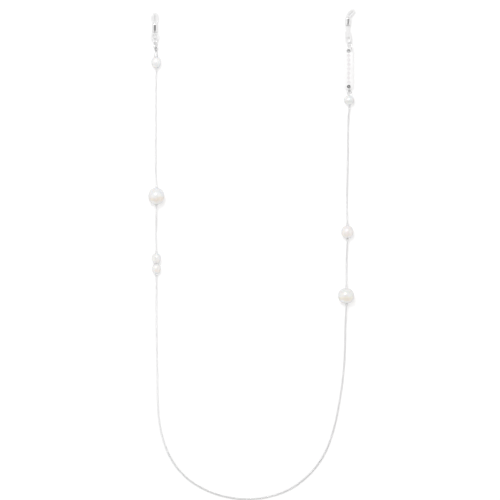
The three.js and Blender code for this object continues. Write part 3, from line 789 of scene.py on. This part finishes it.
def end_loop(node, body, at, radius, tilt, stem, crook, bell=None):
    """Eye of wire turned at the end of a straight stem, with its tail closed against the neck."""
    at = np.array(at)
    # stem up to the neck, then round the eye and back to the neck
    a0 = -PI / 2
    path = [at + np.array([0, -radius - stem + 0.1 + k * 0.15, 0])
            for k in range(int((stem - 0.45) / 0.15))]
    neck = np.array([0, -radius - 0.42, 0]) + at
    path = [p for p in path if p[1] < neck[1] - 0.15] + [neck]
    first = a0 + 0.32
    p1 = ring_point(at, radius, tilt, first)
    for k in range(1, 5):
        u = k / 5
        path.append(neck * (1 - u) + p1 * u + np.array([0, -0.05 * math.sin(PI * u), 0]))
    span = 2 * PI - 0.32 - 0.42
    path += [ring_point(at, radius, tilt, first + span * k / 80) for k in range(81)]
    v, f = sweep(path, WIRE_R, 18)
    parts = [(v, f)]
    n_wire = len(f)
    if bell:
        y0, y1, r = bell
        y1 += 0.14
        prof = [(0.3, -y1 + 0.35), (r - 0.35, -y1 + 0.25), (r - 0.2, -y1 + 0.04), (r - 0.1, -y1), (r, -y1 + 0.06),
                (r, -y1 + 0.2), (r - 0.07, -y1 + 0.42), (r * 0.93, -y1 + 0.62), (r * 0.88, -y1 + 0.9),
                (r * 0.76, -y1 + 1.5), (r * 0.64, -y0 - 1.2), (r * 0.58, -y0 - 0.92), (r * 0.62, -y0 - 0.78),
                (r * 0.64, -y0 - 0.62), (r * 0.62, -y0 - 0.42), (r * 0.55, -y0 - 0.16), (r * 0.4, -y0 - 0.02), (0.3, -y0)]
        fv, ff = lathe(rounded(prof, 0.05, 3), 64)
        parts.append((fv + at, ff))
    v, f = join(*parts)
    o = add_mesh("eye_" + node, v, f, WIRE)
    o.data.materials.append(SATIN)
    o.data.polygons.foreach_set("material_index", [0 if i < n_wire else 1 for i in range(len(o.data.polygons))])
    bm = bmesh.new()
    bm.from_mesh(o.data)
    bmesh.ops.recalc_face_normals(bm, faces=bm.faces)
    bm.to_mesh(o.data)
    bm.free()
    shade(o, "crook", crook)
    return finish_piece(o, body, "findings", node)


# painted shade inside each eye where the rings pass
end_loop("left_end_loop", "chain_left_1", (-65.62, 142.0, 3.15), 1.3, 62, 5.6,
         lambda v: 0.52 * near((-65.62, 142.0, 3.15), 1.6, 2.3)(v), (1.5, 5.2, 1.35))
end_loop("right_end_loop", "chain_right_1", (67.72, 111.9, 3.4), 1.45, 0, 2.1,
         lambda v: 0.25 * near((67.72, 113.2, 3.2), 0.5, 1.2)(v))


# ------------------------------------------------------------- silicone holders
def slit_lips(at, half, low, top, bend):
    """Two soft lips inside a holder's slit; relaxed, they nearly close it."""
    parts = []
    for side in (-1, 1):
        rows = []
        for k in range(17):
            u = k / 16
            y = low - 0.35 + (top - low + 0.6) * u
            near = 0.1 + 0.09 * math.sin(PI * u)
            rows.append([(side * near, y), (side * (half + 0.4), y)])
        v, n = [], len(rows)
        for z in (-0.74, 0.74):
            for q in rows:
                for x, y in q:
                    u, w = bend(x, y)
                    v.append((at[0] + u, at[1] + w, at[2] + z))
        f = []
        for k in range(n - 1):
            a, b, c, d = 2 * k, 2 * k + 1, 2 * k + 3, 2 * k + 2
            f += [(a, b, c, d), (2 * n + d, 2 * n + c, 2 * n + b, 2 * n + a),
                  (a, d, 2 * n + d, 2 * n + a), (b, 2 * n + b, 2 * n + c, c)]
        f += [(0, 2 * n, 2 * n + 1, 1), (2 * n - 2, 2 * n - 1, 4 * n - 1, 4 * n - 2)]
        parts.append((np.array(v), f))
    return parts


def soft_copy(node, name, body, lips, voxel=0.1, passes=7):
    """The holder as moulded rubber: the CAD body remeshed, softened, with a parting line."""
    me = NODES[node].data.copy()
    me.transform(Matrix.Scale(1 / MM, 4))
    bm = bmesh.new()
    bm.from_mesh(me)
    for vv, ff in lips:
        made = [bm.verts.new([float(c) for c in q]) for q in vv]
        added = [bm.faces.new([made[i] for i in q]) for q in ff]
        bmesh.ops.recalc_face_normals(bm, faces=added)
    bmesh.ops.remove_doubles(bm, verts=bm.verts, dist=0.0005)
    bm.to_mesh(me)
    bm.free()
    tmp = bpy.data.objects.new(name + "_tmp", me)
    bpy.context.scene.collection.objects.link(tmp)
    mod = tmp.modifiers.new("remesh", "REMESH")
    mod.mode, mod.voxel_size, mod.adaptivity = "VOXEL", voxel, 0.0
    dg = bpy.context.evaluated_depsgraph_get()
    made = bpy.data.meshes.new_from_object(tmp.evaluated_get(dg))
    bpy.data.objects.remove(tmp)
    n = len(made.vertices)
    co = np.empty(n * 3, np.float32)
    made.vertices.foreach_get("co", co)
    co = co.reshape(-1, 3).astype(float)
    e = np.empty(len(made.edges) * 2, np.int32)
    made.edges.foreach_get("vertices", e)
    e = e.reshape(-1, 2)
    deg = np.bincount(e.ravel(), minlength=n)[:, None]
    for k in range(passes * 2):  # shrink and grow in turn, so volume is kept
        s = np.zeros_like(co)
        np.add.at(s, e[:, 0], co[e[:, 1]])
        np.add.at(s, e[:, 1], co[e[:, 0]])
        co += (0.55 if k % 2 == 0 else -0.565) * (s / deg - co)
    made.vertices.foreach_set("co", co.astype(np.float32).ravel())
    made.update()
    nn = np.empty(n * 3, np.float32)
    made.vertices.foreach_get("normal", nn)
    nn = nn.reshape(-1, 3)
    mid = (co[:, 2].min() + co[:, 2].max()) / 2
    side = np.clip(1 - np.abs(nn[:, 2]) * 1.6, 0, 1)
    co += nn * (0.05 * np.exp(-((co[:, 2] - mid) / 0.13) ** 2) * side)[:, None]
    made.vertices.foreach_set("co", (co * MM).astype(np.float32).ravel())
    made.polygons.foreach_set("use_smooth", [True] * len(made.polygons))
    made.materials.clear()
    made.materials.append(SILICONE)
    made.update()
    o = bpy.data.objects.new(name, made)
    bpy.context.scene.collection.objects.link(o)
    return finish_piece(outward(o), body, "silicone", node)


LEFT_AT, RIGHT_AT = (-66.4, 153.6, 2.4), (66.6, 157.7, 2.4)
LEAN = math.atan2(0.48, 6.2)


def curl(x, y):
    """The right holder's bend: its loop curls over to the side, and the whole leans a little."""
    u, v = x, y
    if y > 6.0:
        a, r, on = (min(y, 9.5) - 6.0) / 4.7, 4.7 - x, max(0.0, y - 9.5)
        u = 4.7 - r * math.cos(a) + on * math.sin(a)
        v = 6.0 + r * math.sin(a) + on * math.cos(a)
    return u * math.cos(LEAN) + v * math.sin(LEAN), v * math.cos(LEAN) - u * math.sin(LEAN)


soft_copy("left_silicone_holder", "moulded_left_holder", "left_holder",
          slit_lips(LEFT_AT, 0.62, 7.9, 11.9, lambda x, y: (x, y)))
soft_copy("right_silicone_holder", "moulded_right_holder", "right_holder",
          slit_lips(RIGHT_AT, 0.5, 7.6, 11.5, curl))


# ---------------------------------------------------------------- cinch sleeves
def sleeve(node, body, material, lean=0.0):
    """Thin drawn tube whose two mouths are rolled."""
    c = centre(node)
    h, ro, ri = 2.8, 2.0, 1.76
    prof = [(ri, -h + 0.2), (ri + 0.02, -h + 0.07), (ri + 0.07, -h + 0.01), (ro - 0.12, -h), (ro - 0.04, -h + 0.03),
            (ro, -h + 0.09), (ro, -h + 0.2), (ro - 0.022, -h + 0.27), (ro - 0.026, -h + 0.33), (ro - 0.012, -h + 0.41),
            (ro - 0.01, -h + 0.6)]
    prof += [(ro - 0.01, y) for y in np.linspace(-h + 1.0, h - 1.0, 9)]
    prof += [(r, -y) for r, y in reversed(prof[:11])]
    # the lower mouth is rolled further in than the upper
    prof = [(r - 0.12 * max(0.0, (-2.0 - y) / 0.8) ** 1.5 * (r > 1.85), y + 0.25 * (h - y) / (2 * h)) for r, y in prof]

    def oval(p, a):
        k = (abs(math.sin(a)) ** n_oval + abs(math.cos(a)) ** n_oval) ** (-1 / n_oval)
        # square it a little, scaled so that it stays inside the round
        rr = math.hypot(p[0], p[2])
        q = rr * k * 0.97
        return np.array([q * math.sin(a), p[1], q * math.cos(a)])

    n_oval = 2.5
    v, f = lathe(prof, 96, oval)
    v = turn_z(v, -lean) + c
    o = outward(add_mesh("tube_" + node, v, f, material))
    return finish_piece(o, body, "sleeve", node)


sleeve("left_cinch_sleeve", "left_cinch", TUBE)
sleeve("right_cinch_sleeve", "right_cinch", TUBE_SOFT, LEAN)


# --------------------------------------------------------------------- tag plate
def tag():
    """Rounded plate with two holes, soft edges and a row of plain recesses."""
    lo, hi = box("tag_plate")
    c = (lo + hi) / 2
    w, l, th, r, b = 3.25, 14.2, 0.8, 2.2, 0.13
    cu = bpy.data.curves.new("tag_outline", "CURVE")
    cu.dimensions, cu.fill_mode = "2D", "BOTH"
    cu.extrude, cu.bevel_depth, cu.bevel_resolution = th / 2 - b, b, 3
    loops = []
    outline = []
    for sx, sy, a0 in ((1, -1, -90), (1, 1, 0), (-1, 1, 90), (-1, -1, 180)):
        for k in range(15):
            a = math.radians(a0 + 90 * k / 14)
            outline.append((sx * (w - b - r) + r * math.cos(a), sy * (l - b - r) + r * math.sin(a)))
    loops.append(outline)
    for sy in (-1, 1):
        loops.append([((1.15 + b) * math.cos(-2 * PI * k / 48), sy * (l - 1.9) + (1.15 + b) * math.sin(-2 * PI * k / 48))
                      for k in range(48)])
    for pts in loops:
        sp = cu.splines.new("POLY")
        sp.points.add(len(pts) - 1)
        for q, (x, y) in zip(sp.points, pts):
            q.co = (x, y, 0, 1)
        sp.use_cyclic_u = True
    tmp = bpy.data.objects.new("tag_tmp", cu)
    bpy.context.scene.collection.objects.link(tmp)
    dg = bpy.context.evaluated_depsgraph_get()
    me = bpy.data.meshes.new_from_object(tmp.evaluated_get(dg))
    bpy.data.objects.remove(tmp)
    bm = bmesh.new()
    bm.from_mesh(me)
    bmesh.ops.remove_doubles(bm, verts=bm.verts, dist=0.0005)
    bmesh.ops.recalc_face_normals(bm, faces=bm.faces)
    bm.to_mesh(me)
    bm.free()
    plate = bpy.data.objects.new("plate_tag", me)
    bpy.context.scene.collection.objects.link(plate)
    # cutters: outlined lozenges and dots along the middle
    cut_v, cut_f = [], []

    def prism(outer, depth, inner=None):
        n, base = len(outer), len(cut_v)
        z0, z1 = th / 2 - depth, th / 2 + 0.3
        for z in (z0, z1):
            cut_v.extend((x, y, z) for x, y in outer)
        if inner is None:
            cut_f.append(tuple(base + k for k in reversed(range(n))))
            cut_f.append(tuple(base + n + k for k in range(n)))
            for k in range(n):
                cut_f.append((base + k, base + (k + 1) % n, base + n + (k + 1) % n, base + n + k))
            return
        for z in (z0, z1):
            cut_v.extend((x, y, z) for x, y in inner)
        for k in range(n):
            j = (k + 1) % n
            cut_f.append((base + k, base + j, base + n + j, base + n + k))
            cut_f.append((base + 2 * n + k, base + 3 * n + k, base + 3 * n + j, base + 2 * n + j))
            cut_f.append((base + n + k, base + n + j, base + 3 * n + j, base + 3 * n + k))
            cut_f.append((base + k, base + 2 * n + k, base + 2 * n + j, base + j))

    for k in range(-6, 7):
        y = k * 1.55
        if k % 2 == 0:
            a, b_, line = 1.2, 1.0, 0.27
            prism([(a, y), (0, y + b_), (-a, y), (0, y - b_)], 0.12,
                  [(a - line * 1.3, y), (0, y + b_ - line * 1.3), (-a + line * 1.3, y), (0, y - b_ + line * 1.3)])
        else:
            prism([(0.24 * math.cos(q * PI / 8), y + 0.24 * math.sin(q * PI / 8)) for q in range(16)], 0.12)
    cme = bpy.data.meshes.new("tag_cutters")
    cme.from_pydata(cut_v, [], cut_f)
    bm = bmesh.new()
    bm.from_mesh(cme)
    bmesh.ops.recalc_face_normals(bm, faces=bm.faces)
    bm.to_mesh(cme)
    bm.free()
    cutter = bpy.data.objects.new("tag_cutters", cme)
    bpy.context.scene.collection.objects.link(cutter)
    mod = plate.modifiers.new("engrave", "BOOLEAN")
    mod.operation, mod.solver, mod.object = "DIFFERENCE", "EXACT", cutter
    dg = bpy.context.evaluated_depsgraph_get()
    done = bpy.data.meshes.new_from_object(plate.evaluated_get(dg))
    bpy.data.objects.remove(plate)
    bpy.data.objects.remove(cutter)
    bm = bmesh.new()
    bm.from_mesh(done)
    bmesh.ops.remove_doubles(bm, verts=bm.verts, dist=0.002)
    bmesh.ops.dissolve_degenerate(bm, edges=bm.edges, dist=0.001)
    bmesh.ops.triangulate(bm, faces=bm.faces)
    bmesh.ops.dissolve_degenerate(bm, edges=bm.edges, dist=0.001)
    bm.to_mesh(done)
    bm.free()
    done.transform(Matrix.Translation(Vector([float(x) for x in c])))
    done.transform(Matrix.Scale(MM, 4))
    done.materials.clear()
    done.materials.append(tag_material(float(hi[2]) * MM))
    done.polygons.foreach_set("use_smooth", [False] * len(done.polygons))
    done.update()
    o = bpy.data.objects.new("plate_tag", done)
    bpy.context.scene.collection.objects.link(o)
    o.data.polygons.foreach_set("use_smooth", [True] * len(o.data.polygons))
    o.data.set_sharp_from_angle(angle=math.radians(28))
    return finish_piece(outward(o), "tag", "tag", "tag_plate")


tag()


def shade_lining(name, at, waist):
    """Rolled eyelet inside one of the tag's holes, painted dark all over to stand in for the shade in the hole."""
    out = 1.24
    prof = [(out, -0.34), (out, 0.34)]
    prof += [(out - (out - waist) * math.sin(PI * k / 12), 0.34 * math.cos(PI * k / 12)) for k in range(1, 12)]
    v, f = lathe(prof, 56)
    v = np.column_stack([v[:, 0], v[:, 2], v[:, 1]]) + np.array(at)
    o = shade(outward(add_mesh(name, v, f, WIRE)), "crook", lambda q: np.ones(len(q)))
    return finish_piece(o, "tag", "tag")


# dark eyelets stand in for the shade inside the tag's two holes
shade_lining("shade_eyelet_upper", (67.35, 140.85, 2.0), 0.95)
shade_lining("shade_eyelet_lower", TAG_HOLES[1], 0.6)


# ------------------------------------------------------------------- the setting
def floor():
    me = bpy.data.meshes.new("floor")
    s = 3.0
    me.from_pydata([(-s, -s, 0), (s, -s, 0), (s, s, 0), (-s, s, 0)], [], [(0, 1, 2, 3)])
    o = bpy.data.objects.new("floor", me)
    bpy.context.scene.collection.objects.link(o)
    m, t, b = principled("white_sheet")
    seen = t.new("ShaderNodeLightPath").outputs["Is Camera Ray"]
    t.put(b.inputs["Base Color"], rgb(0.84, 0.84, 0.84))
    t.put(b.inputs["Roughness"], 0.9)
    t.put(b.inputs["Specular IOR Level"], 0.0)
    t.put(b.inputs["Emission Color"], rgb(1, 1, 1))
    t.put(b.inputs["Emission Strength"], t.math("MULTIPLY", seen, 0.29))
    me.materials.append(m)
    return o


floor()


def world():
    """White dome: a small dark cap straight above, a warm darker card low on the near side."""
    w = bpy.data.worlds.new("dome")
    bpy.context.scene.world = w
    w.use_nodes = True
    t = Tree(w.node_tree)
    bg = w.node_tree.nodes["Background"]
    d = t.new("ShaderNodeTexCoord").outputs["Generated"]
    xyz = t.new("ShaderNodeSeparateXYZ", {0: d})
    x, y, z = xyz.outputs

    up = t.math("MAXIMUM", z, 0.001)
    tx, ty = t.math("ABSOLUTE", t.math("DIVIDE", x, up)), t.math("DIVIDE", y, up)
    above = t.math("GREATER_THAN", z, 0.0)
    # the cap: a narrow dark bar overhead, lying across the strap
    cap = t.math("MULTIPLY", t.remap(t.math("ABSOLUTE", t.math("SUBTRACT", ty, 0.01)), 0.085, 0.13, 1, 0),
                 t.remap(tx, 0.42, 0.66, 1, 0))
    # the near card: greyer the lower it is, gone again near the horizon
    low = t.math("MULTIPLY", ty, -1.0)
    card = t.math("MULTIPLY", t.math("ADD", t.remap(low, 0.12, 0.22, 0, 0.35), t.remap(low, 0.3, 1.0, 0, 0.65)),
                  t.remap(low, 1.5, 4.0, 1, 0))
    card = t.math("MULTIPLY", card, t.remap(tx, 1.2, 3.0, 1, 0))
    # the far side is a grey wall
    wall = t.remap(ty, 0.7, 1.2, 0, 1)
    sky = t.mix(t.math("MULTIPLY", card, above), rgb(1.05, 1.05, 1.05), rgb(0.48, 0.465, 0.45))
    sky = t.mix(t.math("MULTIPLY", wall, above), sky, rgb(0.66, 0.665, 0.67))
    sky = t.mix(t.math("MULTIPLY", cap, above), sky, rgb(0.15, 0.15, 0.15))
    lp = t.new("ShaderNodeLightPath")
    sky = t.mix(lp.outputs["Is Camera Ray"], sky, rgb(1.1, 1.1, 1.1))
    t.put(bg.inputs["Color"], sky)
    bg.inputs["Strength"].default_value = 1.0


world()


def area(name, loc, target, size, power, colour=(1, 1, 1)):
    li = bpy.data.lights.new(name, "AREA")
    li.shape, li.size, li.energy, li.color = "DISK", size, power, colour
    o = bpy.data.objects.new(name, li)
    bpy.context.scene.collection.objects.link(o)
    o.location = loc
    o.rotation_mode = "QUATERNION"
    o.rotation_quaternion = (Vector(target) - Vector(loc)).to_track_quat("-Z", "Y")
    o.visible_camera = False
    return o


area("key", (-0.25, 0.62, 1.3), (0, 0.02, 0), 0.35, 4.5)


def camera():
    cam = bpy.data.cameras.new("camera")
    cam.lens, cam.sensor_width, cam.sensor_fit = 250, 36, "HORIZONTAL"
    o = bpy.data.objects.new("camera", cam)
    bpy.context.scene.collection.objects.link(o)
    field = 0.345
    o.location = (-0.00083, 0.00348, field * 250 / 36 + 0.0015)
    o.rotation_euler = (0, 0, 0)
    cam.clip_start, cam.clip_end = 0.01, 10
    bpy.context.scene.camera = o


camera()
bpy.context.scene.view_settings.view_transform = "Standard"
bpy.context.scene.view_settings.look = "None"
bpy.context.scene.cycles.filter_width = 1.8  # the lens is a little soft
